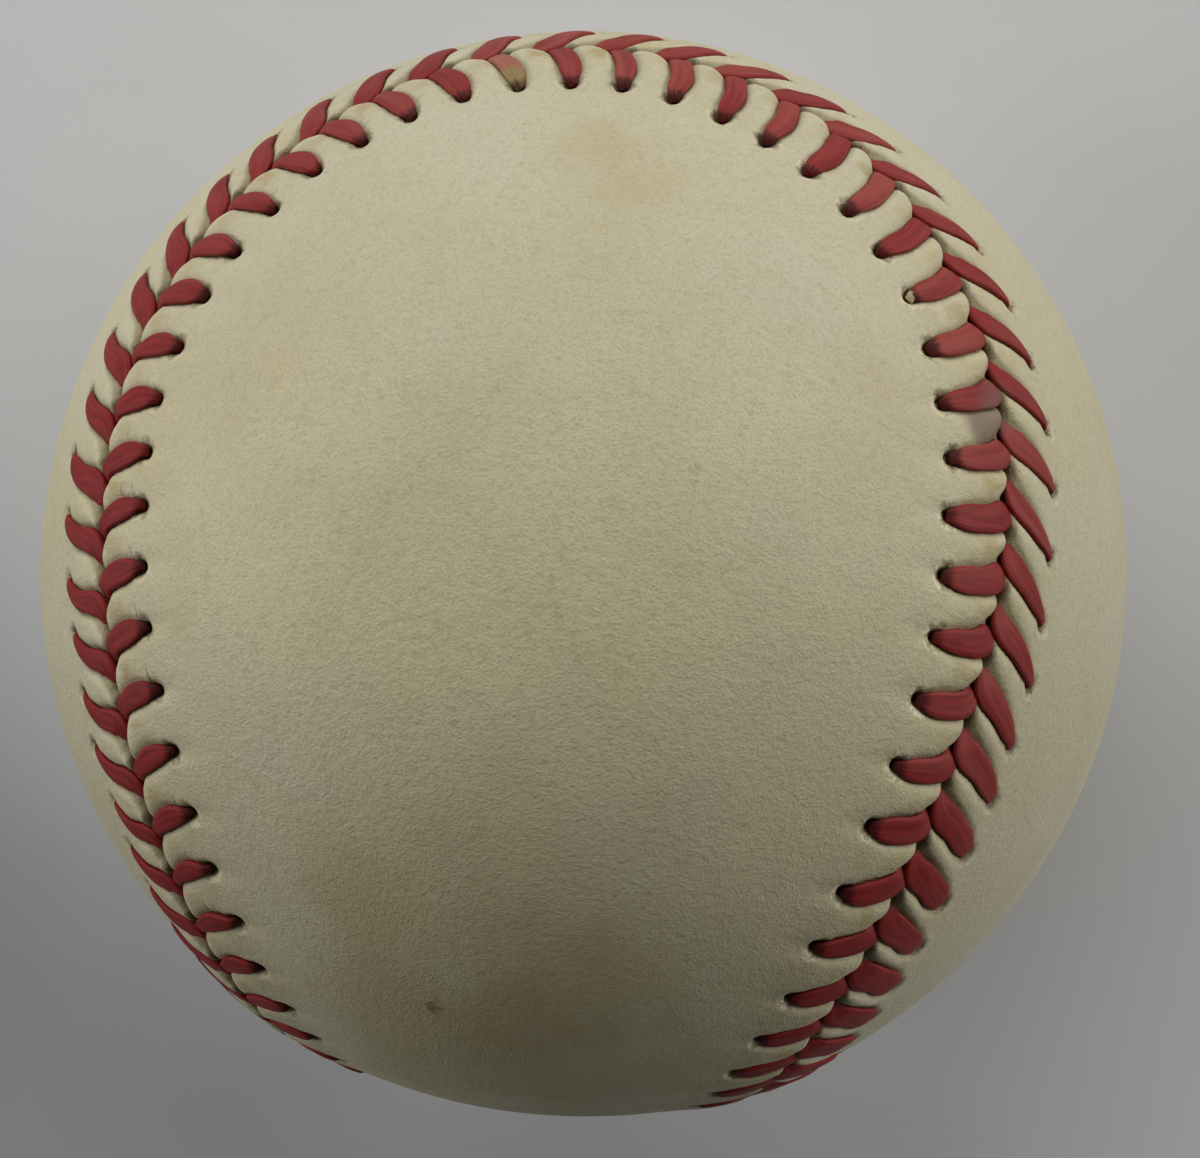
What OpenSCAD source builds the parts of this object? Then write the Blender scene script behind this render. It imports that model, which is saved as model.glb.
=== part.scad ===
// Leather baseball: cushioned cork centre, four windings and a two panel
// cover closed by one long double-needle seam.
// The ball's centre is the origin, +Z points out of the lobe of panel A that
// faces up, and the narrow neck of panel A lies at -Y.

/* [Ball] */
// Diameter over the leather, away from the raised seam
ball_d = 74; // [70:0.5:80]
// Thickness of the cover leather
leather_t = 1.25; // [1.1:0.05:1.5]
// Clearance between one layer and the next
layer_gap = 0.05; // [0.03:0.01:0.1]

/* [Centre] */
// Diameter of the cork composition core
cork_d = 20.6; // [18:0.1:24]
// Wall of the inner black rubber shell
black_rubber_t = 4; // [3:0.1:5]
// Thickness of the washer between the two black halves
washer_t = 0.8; // [0.5:0.1:1.5]
// Wall of the red rubber layer moulded over the black shell
red_rubber_t = 2.4; // [1.5:0.1:3]

/* [Windings] */
// Build-up of the white three-ply wool yarn
white_wool_t = 1.8; // [1:0.1:3]
// Build-up of the grey three-ply wool yarn
grey_wool_t = 2.2; // [1:0.1:3]
// Build-up of the poly-cotton finishing yarn
finish_yarn_t = 0.35; // [0.2:0.05:0.6]

/* [Seam] */
// Double stitches round the whole seam
stitches = 108; // [88:2:116]
// Share of a stitch by which the first one lies past the seam's start
first_stitch_share = 0.5; // [0:0.05:1]
// Slot between the edges of the two panels
butt_gap = 0.6; // [0.5:0.05:0.8]
// Distance from the middle of the seam to a row of stitch holes
hole_offset = 4.4; // [3.8:0.1:5]
// Diameter of a stitch hole
hole_d = 1.2; // [1.1:0.05:1.4]
// Height of the puffed leather between two stitches
puff_h = 0.5; // [0.3:0.05:0.7]

/* [Thread] */
// Width of the waxed thread where it lies flat on the leather
thread_w = 1.4; // [1.1:0.05:1.6]
// Width of the thread where it turns down a hole or the seam slot
thread_neck_w = 0.8; // [0.6:0.05:0.9]
// Thickness of the thread
thread_t = 0.5; // [0.35:0.05:0.55]
// Clearance round the thread
thread_gap = 0.05; // [0.03:0.01:0.1]
// How far a stitch leans along the seam on panel A
lean_a = 1.05; // [0.8:0.05:1.2]
// How far a stitch leans along the seam on panel B
lean_b = 2.5; // [2:0.05:2.8]
// How far the holes of panel B lag behind those of panel A
hole_lag = 0.5; // [0:0.05:0.8]

/* [Hidden] */
$fn = 96;

// Radii, worked out from the outside in and from the core out
ball_r = ball_d/2;
cover_in_r = ball_r - leather_t;
finish_r = cover_in_r - layer_gap;
grey_wool_r = finish_r - finish_yarn_t - layer_gap;
white_wool_r = grey_wool_r - grey_wool_t - layer_gap;
base_wool_r = white_wool_r - white_wool_t - layer_gap;
cork_r = cork_d/2;
black_in_r = cork_r + layer_gap;
black_out_r = black_in_r + black_rubber_t;
red_in_r = black_out_r + layer_gap;
red_out_r = red_in_r + red_rubber_t;

// The seam: a closed curve on the sphere, on four equal waves
lobe_share = 0.515;
reach_share = 1.209;
neck_share = 0.069;
function unit(v) = v/norm(v);
function seam_dir(u) = unit([
    cos(u) - lobe_share*cos(3*u),
    -reach_share*cos(2*u) - neck_share*cos(6*u),
    sin(u) + lobe_share*sin(3*u)]);

// Run along the seam against the curve's angle, for a unit sphere
seam_samples = 720;
sample_angle = 360/seam_samples;
function seam_runs(k=0, run=0) = k > seam_samples ? [] :
    concat([[run, k*sample_angle]],
           seam_runs(k + 1, run + norm(seam_dir((k + 1)*sample_angle)
                                       - seam_dir(k*sample_angle))));
run_table = seam_runs();
seam_run = run_table[seam_samples][0];
pitch = ball_r*seam_run/stitches;
function seam_angle(station) =
    let (place = (station + first_stitch_share)/stitches,
         laps = floor(place))
    360*laps + lookup((place - laps)*seam_run, run_table);

// Place beside the seam: station counted in stitches from the first one,
// side in mm towards panel A
function seam_at(station) = seam_dir(seam_angle(station));
function seam_along(station) =
    let (u = seam_angle(station))
    unit(seam_dir(u + sample_angle) - seam_dir(u - sample_angle));
function seam_aside(station) = cross(seam_at(station), seam_along(station));
function arc(length) = length/ball_r*180/PI;
function beside(station, side) =
    seam_at(station)*cos(arc(side)) + seam_aside(station)*sin(arc(side));

// Middle radii of the thread: hidden under the leather, and over it
hidden_sag = (hole_offset*hole_offset + pitch*pitch)/(8*finish_r);
hidden_r = finish_r + layer_gap + hidden_sag + thread_t/2;
laid_r = ball_r + thread_gap + thread_t/2;

// Leather at the seam: the hidden thread lifts it off the winding
relief_r = hidden_r + thread_t/2 + thread_gap;
relief_w = hole_offset + hole_d;
edge_steps = 2*stitches;
relief_steps = stitches;

// Stations of a stitch's hole and of the place where it turns down the slot
function hole_station(step, side) = step - (side > 0 ? 0 : hole_lag/pitch);
function slot_station(step, side) =
    hole_station(step, side) + (side > 0 ? lean_a : lean_b)/pitch;

// Puffs between the stitches, near the slot: each foot is tucked under the
// thread by a share of its width
puff_tuck_share = 0.25;
puff_half_w = pitch/2 - puff_tuck_share*thread_w;
puff_r = (puff_half_w*puff_half_w + puff_h*puff_h)/(2*puff_h);
puff_in_share = 0.25;
half_stitch_share = 0.5;
function leg_station(step, side, share) =
    slot_station(step, side)*(1 - share) + hole_station(step, side)*share;

module ball(r) sphere(r=r);

module at_place(dir, r)
    rotate([0, acos(dir.z), atan2(dir.y, dir.x)])
        translate([0, 0, r])
            children();

// Cone of space on one side of the seam, set back from the seam's middle
module panel_cone(set_back, side, steps) {
    first = side > 0 ? -steps/4 : 0;
    rim = [for (k = [0:steps - 1])
           beside((first + k)*stitches/steps, side*set_back)*ball_d];
    walls = [for (k = [0:steps - 1]) [steps, k, (k + 1)%steps]];
    lid = [for (k = [0:steps/2 - 1])
           k == 0 ? [0, steps - 1, 1] :
           k == steps/2 - 1 ? [k, k + 2, k + 1] :
           [k, steps - k, steps - k - 1, k + 1]];
    polyhedron(points=concat(rim, [[0, 0, 0]]),
               faces=[for (f = concat(walls, lid))
                      side > 0 ? f : [for (j = [len(f) - 1:-1:0]) f[j]]]);
}

module stitch_holes(side)
    for (step = [0:stitches - 1])
        at_place(beside(hole_station(step, side), side*hole_offset), ball_r/2)
            cylinder(d=hole_d, h=ball_r);

module puffs(side)
    for (step = [0:stitches - 1])
        at_place(beside(leg_station(step + half_stitch_share, side,
                                    puff_in_share),
                        side*puff_in_share*hole_offset), ball_r + puff_h - puff_r)
            sphere(r=puff_r);

module cover_panel(side)
    difference() {
        intersection() {
            union() {
                ball(ball_r);
                puffs(side);
            }
            panel_cone(butt_gap/2, side, edge_steps);
        }
        ball(cover_in_r);
        difference() {
            ball(relief_r);
            panel_cone(relief_w, side, relief_steps);
        }
        stitch_holes(side);
    }

module hollow_ball(out_r, in_r)
    difference() {
        ball(out_r);
        ball(in_r);
    }

module cork_core() color("peru") ball(cork_r);

module black_shell(end)
    difference() {
        hollow_ball(black_out_r, black_in_r);
        translate([-ball_r, -ball_r, end > 0 ? -ball_d + washer_t/2 + layer_gap
                                             : -washer_t/2 - layer_gap])
            cube(ball_d);
    }

module black_shell_upper() color("dimgray") black_shell(1);

module black_shell_lower() color("dimgray") black_shell(-1);

module shell_washer()
    color("firebrick")
        difference() {
            cylinder(r=black_out_r, h=washer_t, center=true);
            cylinder(r=black_in_r, h=ball_r, center=true);
        }

module red_rubber_layer() color("brown") hollow_ball(red_out_r, red_in_r);

module base_wool_winding()
    color("slategray") hollow_ball(base_wool_r, red_out_r + layer_gap);

module white_wool_winding()
    color("ghostwhite") hollow_ball(white_wool_r, base_wool_r + layer_gap);

module grey_wool_winding()
    color("darkgray") hollow_ball(grey_wool_r, white_wool_r + layer_gap);

module finish_yarn_winding()
    color("white") hollow_ball(finish_r, grey_wool_r + layer_gap);

// One thread: up through a hole, over the leather, down the slot and under
// the other panel to its next hole, all the way round and back to its start
flat_share = 0.55;
section_shares = [[1, 0], [flat_share, 1], [-flat_share, 1],
                  [-1, 0], [-flat_share, -1], [flat_share, -1]];
function hole_dir(step, side) =
    beside(hole_station(step, side), side*hole_offset);
function slot_dir(step, side) = seam_at(slot_station(step, side));
function thread_ring(middle, across, up, width, turn) =
    [for (p = section_shares)
        middle + turn*(p.x*width/2*unit(across) + p.y*thread_t/2*up)];
function stitch_rings(step, side, turn) =
    let (hole = hole_dir(step, side),
         slot = slot_dir(step, side),
         crest = unit(hole + slot),
         came = unit(hole - slot_dir(step - 1, -side)),
         over = unit(slot - hole),
         goes = unit(hole_dir(step + 1, -side) - slot))
    [thread_ring(hole*hidden_r, cross(came, hole), came - hole,
                 thread_neck_w, turn),
     thread_ring(hole*laid_r, cross(hole, over), hole - over,
                 thread_neck_w, turn),
     thread_ring(crest*laid_r, cross(crest, over), crest, thread_w, turn),
     thread_ring(slot*laid_r, cross(slot, over), slot + over,
                 thread_neck_w, turn),
     thread_ring(slot*hidden_r, cross(slot, goes), slot + goes,
                 thread_neck_w, turn)];

module stitch_thread(first_side) {
    rings = [for (step = [0:stitches - 1])
             let (turn = step%2 == 0 ? 1 : -1)
             each stitch_rings(step, first_side*turn, turn)];
    sides = len(section_shares);
    count = len(rings);
    function corner(ring, j) = (ring%count)*sides + j%sides;
    polyhedron(points=[for (ring = rings) each ring],
               faces=[for (k = [0:count - 1], j = [0:sides - 1])
                      each [[corner(k, j), corner(k + 1, j + 1), corner(k, j + 1)],
                            [corner(k, j), corner(k + 1, j), corner(k + 1, j + 1)]]]);
}

module cover_panel_a() color("cornsilk") cover_panel(1);

module cover_panel_b() color("cornsilk") cover_panel(-1);

module stitch_thread_a() color("crimson") stitch_thread(1);

module stitch_thread_b() color("crimson") stitch_thread(-1);

cork_core();
black_shell_upper();
black_shell_lower();
shell_washer();
red_rubber_layer();
base_wool_winding();
white_wool_winding();
grey_wool_winding();
finish_yarn_winding();
cover_panel_a();
cover_panel_b();
stitch_thread_a();
stitch_thread_b();
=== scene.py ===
# A worn leather baseball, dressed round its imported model
import math

import bpy
import numpy as np
from mathutils import Matrix, Vector
from mathutils.geometry import delaunay_2d_cdt


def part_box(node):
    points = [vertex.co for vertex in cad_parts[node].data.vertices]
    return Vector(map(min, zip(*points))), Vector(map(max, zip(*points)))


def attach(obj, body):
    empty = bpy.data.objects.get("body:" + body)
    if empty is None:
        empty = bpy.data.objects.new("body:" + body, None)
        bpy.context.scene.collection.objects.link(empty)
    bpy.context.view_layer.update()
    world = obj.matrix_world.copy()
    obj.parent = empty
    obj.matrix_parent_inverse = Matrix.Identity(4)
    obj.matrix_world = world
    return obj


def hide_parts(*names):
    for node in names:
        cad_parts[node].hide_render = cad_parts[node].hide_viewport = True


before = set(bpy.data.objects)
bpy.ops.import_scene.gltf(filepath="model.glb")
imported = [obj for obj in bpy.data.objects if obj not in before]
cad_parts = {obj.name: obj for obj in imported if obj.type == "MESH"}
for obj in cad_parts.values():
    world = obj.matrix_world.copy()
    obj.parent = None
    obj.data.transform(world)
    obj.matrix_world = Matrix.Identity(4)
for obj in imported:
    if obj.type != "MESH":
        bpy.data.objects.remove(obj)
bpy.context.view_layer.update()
print("frame loaded")

millimetre = 0.001
chance = np.random.default_rng(11)

# The seam, as the part's source has it. Lengths here are in millimetres. The
# hand stitching runs ahead of even steps by some share of a stitch, and the
# joint strays towards the first panel, both told every four and a half stitches
seam = {
    "ballRadius": 37.0,
    "lobeShare": 0.515,
    "reachShare": 1.209,
    "neckShare": 0.069,
    "stitches": 108,
    "samples": 8640,         # to measure its length by
    "ahead": [0.16, 0.4, 0.82, 0.84, 0.66, 0.47, 0.43, 0.52, 0.44, 0.22, 0.11, 0.12,
              0.16, 0.24, 0.33, 0.41, 0.46, 0.5, 0.52, 0.5, 0.45, 0.38, 0.3, 0.2],
    "stray": [-0.55, -0.5, -0.45, -0.2, -0.7, -1.5, -0.85, 0.1, -0.4, -0.02, -0.4,
              -0.55, -0.4, -0.22, -0.19, -0.14, -0.11, -0.09, -0.11, -0.16, -0.22,
              -0.3, -0.4, -0.5],
}


# Catmull-Rom curve between the second and third of four values
def curveThrough(before, start, end, after, share):
    return 0.5*(2*start + (end - before)*share
                + (2*before - 5*start + 4*end - after)*share**2
                + (3*start - before - 3*end + after)*share**3)


# Value at a station, from values told at even steps round the seam
def roundSeam(values, station):
    place = station/seam["stitches"]*len(values)
    cell = np.floor(place).astype(int)
    four = (np.take(values, cell + k, mode="wrap") for k in (-1, 0, 1, 2))
    return curveThrough(*four, place - cell)


def unit(arrows):
    return arrows/np.linalg.norm(arrows, axis=-1, keepdims=True)


# Direction of the seam from the ball's middle, once round as turn goes to 2 pi
def seamRay(turn):
    return unit(np.stack([
        np.cos(turn) - seam["lobeShare"]*np.cos(3*turn),
        -seam["reachShare"]*np.cos(2*turn) - seam["neckShare"]*np.cos(6*turn),
        np.sin(turn) + seam["lobeShare"]*np.sin(3*turn)], axis=-1))


seamTurns = np.linspace(0, 2*math.pi, seam["samples"] + 1)
seamHops = np.linalg.norm(np.diff(seamRay(seamTurns), axis=0), axis=1)
seamRuns = np.concatenate([[0], np.cumsum(seamHops)])
pitch = seam["ballRadius"]*seamRuns[-1]/seam["stitches"]


# Outwards, along and across the seam at a station, which counts stitches
def seamFrame(station):
    laps, share = np.divmod(station/seam["stitches"], 1)
    turn = 2*math.pi*laps + np.interp(share*seamRuns[-1], seamRuns, seamTurns)
    tiny = 0.002
    on = seamRay(turn)
    along = unit(seamRay(turn + tiny) - seamRay(turn - tiny))
    return on, along, np.cross(on, along)


# Direction of a place beside the seam: station in stitches, side in mm
def beside(station, side):
    on, along, aside = seamFrame(station + roundSeam(seam["ahead"], station))
    reach = (side + roundSeam(seam["stray"], station))[..., None]/seam["ballRadius"]
    return on*np.cos(reach) + aside*np.sin(reach)


# How much longer a stitch's pitch is at that side of the seam than on it
def stretchAt(station, side):
    step = 0.05
    gap = beside(station + step, side) - beside(station - step, side)
    return np.linalg.norm(gap, axis=-1)*seam["ballRadius"]/(2*step*pitch)


def smoothStep(low, high, value):
    share = np.clip((value - low)/(high - low), 0, 1)
    return share*share*(3 - 2*share)


# Points spread evenly, knot by knot, on a smooth curve through knots
def smoothPath(knots, count):
    knots = np.array(knots)
    padded = np.vstack([2*knots[0] - knots[1], knots, 2*knots[-1] - knots[-2]])
    place = np.linspace(0, len(knots) - 1.000001, count)
    cell = place.astype(int)
    share = (place - cell)[:, None]
    return curveThrough(*(padded[cell + k] for k in range(4)), share)


# One stitch leg on each panel, from its hole to the slot. A knot is run along
# the seam, side, lift over the ball, width and thickness. Round the seam the
# hole's place (lean, reach), the girth, the hole end's extra width (blunt), the
# seam end's (flare) and place (slide), the middle's place (bow) and the lobes'
# height (plump) vary, each told like the seam's own unevenness
legs = {
    "a": {
        "sign": 1,
        "lag": 0.0,
        "mouth": (0.06, 0.10),     # from the thread's end to its hole's middle
        "pit": (0.38, 0.16),       # depth of the hole's mouth and of its dimple
        "pull": 0.17,              # depth of the furrow from the hole inwards
        "soilAndShade": 0.0,               # keeps the dark of the hole off the thread
        "lean": [0]*9 + [-0.1, -0.35, -0.3, -0.2, -0.1] + [0]*10,
        "reach": [-0.3, -0.34, -0.04, 0.29, 0.66, 1.75, 1.4, 0.36, 0.22, -0.08, 0.3,
                  0.36] + [0.1]*10 + [0, -0.2],
        "girth": [1.15, 1.2, 1.12, 1.0, 0.95, 0.86, 0.92, 1.0, 0.98, 0.95, 0.88, 0.9,
                  0.95] + [1.0]*10 + [1.05],
        "blunt": [-0.15, -0.2, -0.2, -0.12, -0.05, -0.05, -0.05, -0.1, -0.15, -0.28,
                  -0.35, -0.3, -0.2] + [-0.1]*11,
        "flare": [0, 0, 0.05, 0.25, 0.25, 0, -0.1, -0.4, -0.4, -0.15, -0.5, -0.5,
                  -0.3] + [0]*11,
        "bow": [0]*4 + [0.15, 0.36, 0.22, 0.05] + [0]*16,
        "plump": [1]*7 + [0.9, 0.82, 0.75, 0.75, 0.8, 0.9] + [1]*11,
        "slide": [0]*4 + [0.1, 0.6, 0.25, 0.1, 0.1, 0, 0.35, 0.35, 0.2] + [0]*11,
        "knots": [
            (0.02, 3.72, -1.00, 0.80, 0.44),
            (-0.02, 3.92, -0.48, 0.84, 0.44),
            (-0.02, 3.92, -0.10, 0.94, 0.44),
            (0.00, 3.70, 0.07, 1.16, 0.43),
            (0.04, 3.22, 0.14, 1.44, 0.42),
            (0.11, 2.54, 0.17, 1.60, 0.41),
            (0.22, 1.84, 0.17, 1.62, 0.41),
            (0.38, 1.20, 0.16, 1.64, 0.42),
            (0.60, 0.68, 0.12, 1.62, 0.44),
            (0.92, 0.32, 0.04, 1.56, 0.46),
            (1.28, 0.14, -0.18, 1.36, 0.48),
            (1.62, 0.04, -0.58, 0.98, 0.50),
            (1.84, -0.02, -0.98, 0.76, 0.50)],
    },
    "b": {
        "sign": -1,
        "lag": 0.5,
        "mouth": (-0.04, 0.06),
        "pit": (0.34, 0.08),
        "pull": 0.02,
        "soilAndShade": 0.35,
        "lean": [0, 0, 0, 0.05, 0.45, 1.1, 0.75, 0.25, 0.4, 0.85, 1.2, 1.1, 0.8, 0.5,
                 0.3] + [0.2]*7 + [0.1, 0],
        "reach": [-0.2, -0.2, -0.1, -0.05, -0.15, -0.45, 0.5, 0.65, 0.7, 0.35, 0.05,
                  0, 0] + [0.1]*8 + [0, -0.1, -0.2],
        "girth": [1.2, 1.2, 1.12, 0.86, 0.82, 0.98, 0.98, 1.0, 0.94, 0.8, 0.8,
                  0.84] + [0.85]*8 + [0.9, 0.95, 1.05, 1.15],
        "blunt": [0.95, 0.95, 0.7, 0.12, 0, 0, 0.15, 0.32, 0.28, 0.1] + [0]*9
                 + [0.05, 0.15, 0.4, 0.6, 0.85],
        "flare": [0]*3 + [0.1, 0.2, 0.42, 0.32, 0, 0.1, 0.3, 0.25, 0.1] + [0]*12,
        "bow": [0.0],
        "plump": [1.0],
        "slide": [0]*4 + [0.1, 0.6, 0.25] + [0]*17,
        "knots": [
            (-0.28, 4.80, -1.00, 0.44, 0.40),
            (-0.50, 5.06, -0.50, 0.36, 0.38),
            (-0.52, 5.10, -0.12, 0.36, 0.36),
            (-0.24, 4.74, 0.05, 0.62, 0.38),
            (0.24, 4.08, 0.13, 1.04, 0.41),
            (0.77, 3.28, 0.18, 1.42, 0.41),
            (1.26, 2.50, 0.19, 1.70, 0.41),
            (1.64, 1.74, 0.19, 1.82, 0.41),
            (1.96, 1.12, 0.17, 1.86, 0.43),
            (2.32, 0.70, 0.10, 1.72, 0.45),
            (2.76, 0.44, -0.02, 1.36, 0.47),
            (3.24, 0.30, -0.24, 0.94, 0.48),
            (3.60, 0.22, -0.62, 0.68, 0.46),
            (3.78, 0.16, -0.98, 0.62, 0.46)],
    },
}
legRings = 28
holeRing = 4             # the ring at the hole's rim
# How far from the seam each trait of a leg starts and is full
traitSides = {
    "hole": (0, 4),
    "blunt": (2.4, 4.2),
    "flare": (1.9, 0.5),
    "slide": (2.6, 0.6),
}

# How much each measure of a leg strays from stitch to stitch
handSpread = {
    "holeRun": 0.08,
    "seamRun": 0.05,
    "holeSide": 0.11,
    "lift": 0.02,
    "width": 0.045,
    "bow": 0.05,
    "taper": 0.07,
}


# Every leg a little different: hole, width and lift vary from stitch to stitch
def varyLegs(leg):
    path = smoothPath(leg["knots"], legRings)
    count = seam["stitches"]
    station = np.arange(count) - leg["lag"]/pitch
    paths = np.repeat(path[None], count, axis=0)
    run, side, lift, width = (paths[:, :, column] for column in range(4))
    toHole, blunt, flare, slide = (smoothStep(*traitSides[name], path[:, 1])
                                   for name in ("hole", "blunt", "flare", "slide"))
    share = np.linspace(0, 1, legRings)
    halfWay = np.sin(math.pi*share)

    def trait(name, where=1.0):
        return roundSeam(leg[name], station)[:, None]*where

    def stray(name, where=1.0):
        return chance.normal(0, handSpread[name], (count, 1))*where

    run += trait("lean", toHole)
    side += trait("reach", toHole)
    width *= trait("girth")
    width += trait("blunt", blunt)
    width += trait("flare", flare)
    run += trait("slide", slide)
    run += stray("holeRun", toHole)
    run += stray("seamRun", 1 - toHole)
    side += stray("holeSide", toHole)
    lift += stray("lift", toHole)
    width *= 1 + stray("width")
    run += trait("bow", halfWay) + stray("bow", halfWay)
    width *= 1 + stray("taper", np.cos(math.pi*share))
    return paths


for leg in legs.values():
    leg["paths"] = varyLegs(leg)

# The furrow that the pull of the thread draws inwards from the hole
furrowForm = {
    "start": (-0.2, 0.5),
    "halfWidth": 0.7,
    "length": 2.0,
}


# Signed distance from the nearest leg's outline and from its hole's middle, and
# how deep a place lies in the furrow
def legDistances(leg, station, side):
    stretch = stretchAt(station, side*leg["sign"])
    nearest = np.full(station.shape, np.inf)
    hole = np.full(station.shape, np.inf)
    furrow = np.zeros(station.shape)
    first = np.round(station + leg["lag"]/pitch).astype(int)
    for shift in (-1, 0, 1):
        step = first + shift
        path = leg["paths"][step % seam["stitches"]]
        run = (station - step + leg["lag"]/pitch)*pitch*stretch
        for k in range(2, legRings - 1):      # leaves out what goes down its hole
            away = np.hypot(run - path[:, k, 0], side - path[:, k, 1])
            nearest = np.minimum(nearest, away - path[:, k, 3]/2)
        along = run - path[:, holeRing, 0] - leg["mouth"][0]
        inwards = side - path[:, holeRing, 1] - leg["mouth"][1]
        hole = np.minimum(hole, np.hypot(along, inwards))
        depth = np.exp(-(along/furrowForm["halfWidth"])**2
                       - (inwards/furrowForm["length"])**2)
        furrow = np.maximum(furrow, depth*smoothStep(*furrowForm["start"], inwards))
    return nearest, hole, furrow


# Slow unevenness of a hand-stitched ball
swellForm = {
    "waves": 7,
    "fineness": 9,
    "height": 0.016,
    "sink": 0.03,
}
swellWaves = chance.normal(0, 1, (swellForm["waves"], 3))*swellForm["fineness"]
swellTurns = chance.uniform(0, 2*math.pi, swellForm["waves"])


def swell(ray):
    waves = np.sin(ray @ swellWaves.T + swellTurns).sum(axis=-1)
    return np.minimum(swellForm["height"]*waves - swellForm["sink"], 0)


cover = {
    "edge": 0.1,             # half of the gap between the panels
    "edgeWaves": [(0.03, 2.9, 0), (0.02, 7.1, 1)],   # height, turn a stitch, start
    "edgeFades": (4, 0),     # how far from the edge its waves reach
    "notch": 0.16,           # how far a leg holds the edge back, by its distance
    "notchFlanks": (0.05, -0.4),
    "roll": 0.44,            # radius of the turned-down edge
    "shoulder": 0.92,        # width of a lobe's rounded flank
    "lobeSpread": 0.07,      # how much the lobes' heights stray
    "pressed": 0.03,         # how deep a leg sinks in, and to what side
    "pressedSides": (5.5, 4),
    "mouthReach": 0.42,      # how far a hole's mouth and its dimple reach
    "dimpleReach": 0.8,
    "rimReach": 0.95,        # the raised rim round them
    "rimWidth": 0.22,
    "rimLift": 0.05,
    "columns": 20,           # per stitch
    "insideLift": -0.58,     # underside of the leather at the seam
    "liningLift": -1.25,     # underside away from it
    "liningStart": 6.0,      # how far from the seam that is
    # The strip's rows by distance from its edge, and the lobes' lift by side
    "rows": [0, 0.02, 0.06, 0.12, 0.2, 0.3, 0.42, 0.58, 0.78, 1.0, 1.25, 1.5, 1.75,
             2.0, 2.25, 2.5, 2.75, 2.98, 3.2, 3.4, 3.6, 3.8, 4.0, 4.2, 4.4, 4.6,
             4.8, 5.0, 5.22, 5.46, 5.72, 6.0, 6.4, 7.0, 7.6, 8.2],
    "crestSides": [0, 0.5, 1.0, 1.8, 2.6, 3.4, 4.2, 5.0, 5.8, 6.8, 8.0],
    "crestLifts": [0.42, 0.48, 0.5, 0.47, 0.4, 0.31, 0.19, 0.1, 0.04, 0.01, 0],
    # Broad leather and underside: rings of points, each told by its distance from
    # the seam and the columns between its points, and how finely the rest is cut
    "patch": {"rings": [(9.0, 4), (10.0, 8)], "cuts": 6},
    "lining": {"rings": [(2.5, 8), (5.6, 8), (6.2, 8)], "cuts": 4},
    "ringGap": 0.6,
}
farAway = 9.0                # stands for a place with no seam near it


# Lift of the leather beside the seam, with lobes, grooves, dimples and hole mouths
def leatherLift(leg, station, side, edgeAway, crests):
    flank, hole, furrow = legDistances(leg, station, side)
    phase = station + leg["lag"]/pitch - np.interp(
        side, leg["middleSides"], leg["middleRuns"])/pitch
    lobes = np.arange(-1, seam["stitches"] + 2)
    height = np.interp(phase % seam["stitches"], lobes + 0.5,
                       np.take(crests, lobes, mode="wrap"))
    crest = np.interp(side, cover["crestSides"], cover["crestLifts"])*height
    rise = np.clip(flank/cover["shoulder"], 0, 1)
    rise = np.sqrt(1 - (1 - rise)**2)
    lift = crest*rise
    lift -= cover["pressed"]*(1 - rise)*smoothStep(*cover["pressedSides"], side)
    mouth, dimple = leg["pit"]
    lift -= mouth*np.exp(-(hole/cover["mouthReach"])**4)
    lift -= dimple*np.exp(-(hole/cover["dimpleReach"])**2)
    rim = (hole - cover["rimReach"])/cover["rimWidth"]
    lift += cover["rimLift"]*np.exp(-rim**2)
    lift -= leg["pull"]*furrow
    bend = 1 - np.clip(edgeAway/cover["roll"], 0, 1)
    lift -= cover["roll"]*(1 - np.sqrt(1 - bend**2))
    return lift, flank, hole


# Rays of the ball laid flat, as seen from a pole in the middle of the other panel
def projected(rays, sign):
    return rays[:, (0, 2)]/(1 - sign*rays[:, 1:2])


# Triangles between a closed loop and loose points inside it
def patchFaces(loop, inner, sign, outward):
    rays = np.vstack([loop, inner])
    flat = [Vector(p) for p in projected(rays, sign)]
    count = len(loop)
    rim = [(k, (k + 1) % count) for k in range(count)]
    made = delaunay_2d_cdt(flat, rim, [], 1, 1e-9)
    origin = [ids[0] for ids in made[3]]
    faces = np.array([[origin[c] for c in face] for face in made[2]])
    corners = rays[faces]
    facing = (np.cross(corners[:, 1] - corners[:, 0], corners[:, 2] - corners[:, 0])
              * corners.sum(axis=1)).sum(axis=1)
    turned = (facing > 0) != outward
    faces[turned] = faces[turned][:, ::-1]
    return faces


def addPoints(obj, **values):
    for name, value in values.items():
        layer = obj.data.attributes.get(name) or obj.data.attributes.new(
            name, "FLOAT", "POINT")
        layer.data.foreach_set("value", np.asarray(value, np.float32).ravel())


def selectOnly(*objects):
    bpy.ops.object.select_all(action="DESELECT")
    for obj in objects:
        obj.select_set(True)
    bpy.context.view_layer.objects.active = objects[0]


# Closes a finished shape: faces outwards, shaded smooth
def finishShape(obj, merge=False):
    selectOnly(obj)
    bpy.ops.object.mode_set(mode="EDIT")
    bpy.ops.mesh.select_all(action="SELECT")
    if merge:
        bpy.ops.mesh.remove_doubles(threshold=1e-7)
    bpy.ops.mesh.normals_make_consistent(inside=False)
    bpy.ops.mesh.select_all(action="DESELECT")
    bpy.ops.object.mode_set(mode="OBJECT")
    bpy.ops.object.shade_smooth()
    print(obj.name, "made:", len(obj.data.polygons), "faces")


def meshObject(name, spots, faces):
    mesh = bpy.data.meshes.new(name)
    mesh.from_pydata((spots*millimetre).tolist(), [], faces.tolist())
    mesh.uv_layers.new(name="UVMap")
    made = bpy.data.objects.new(name, mesh)
    bpy.context.scene.collection.objects.link(made)
    return made


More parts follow.
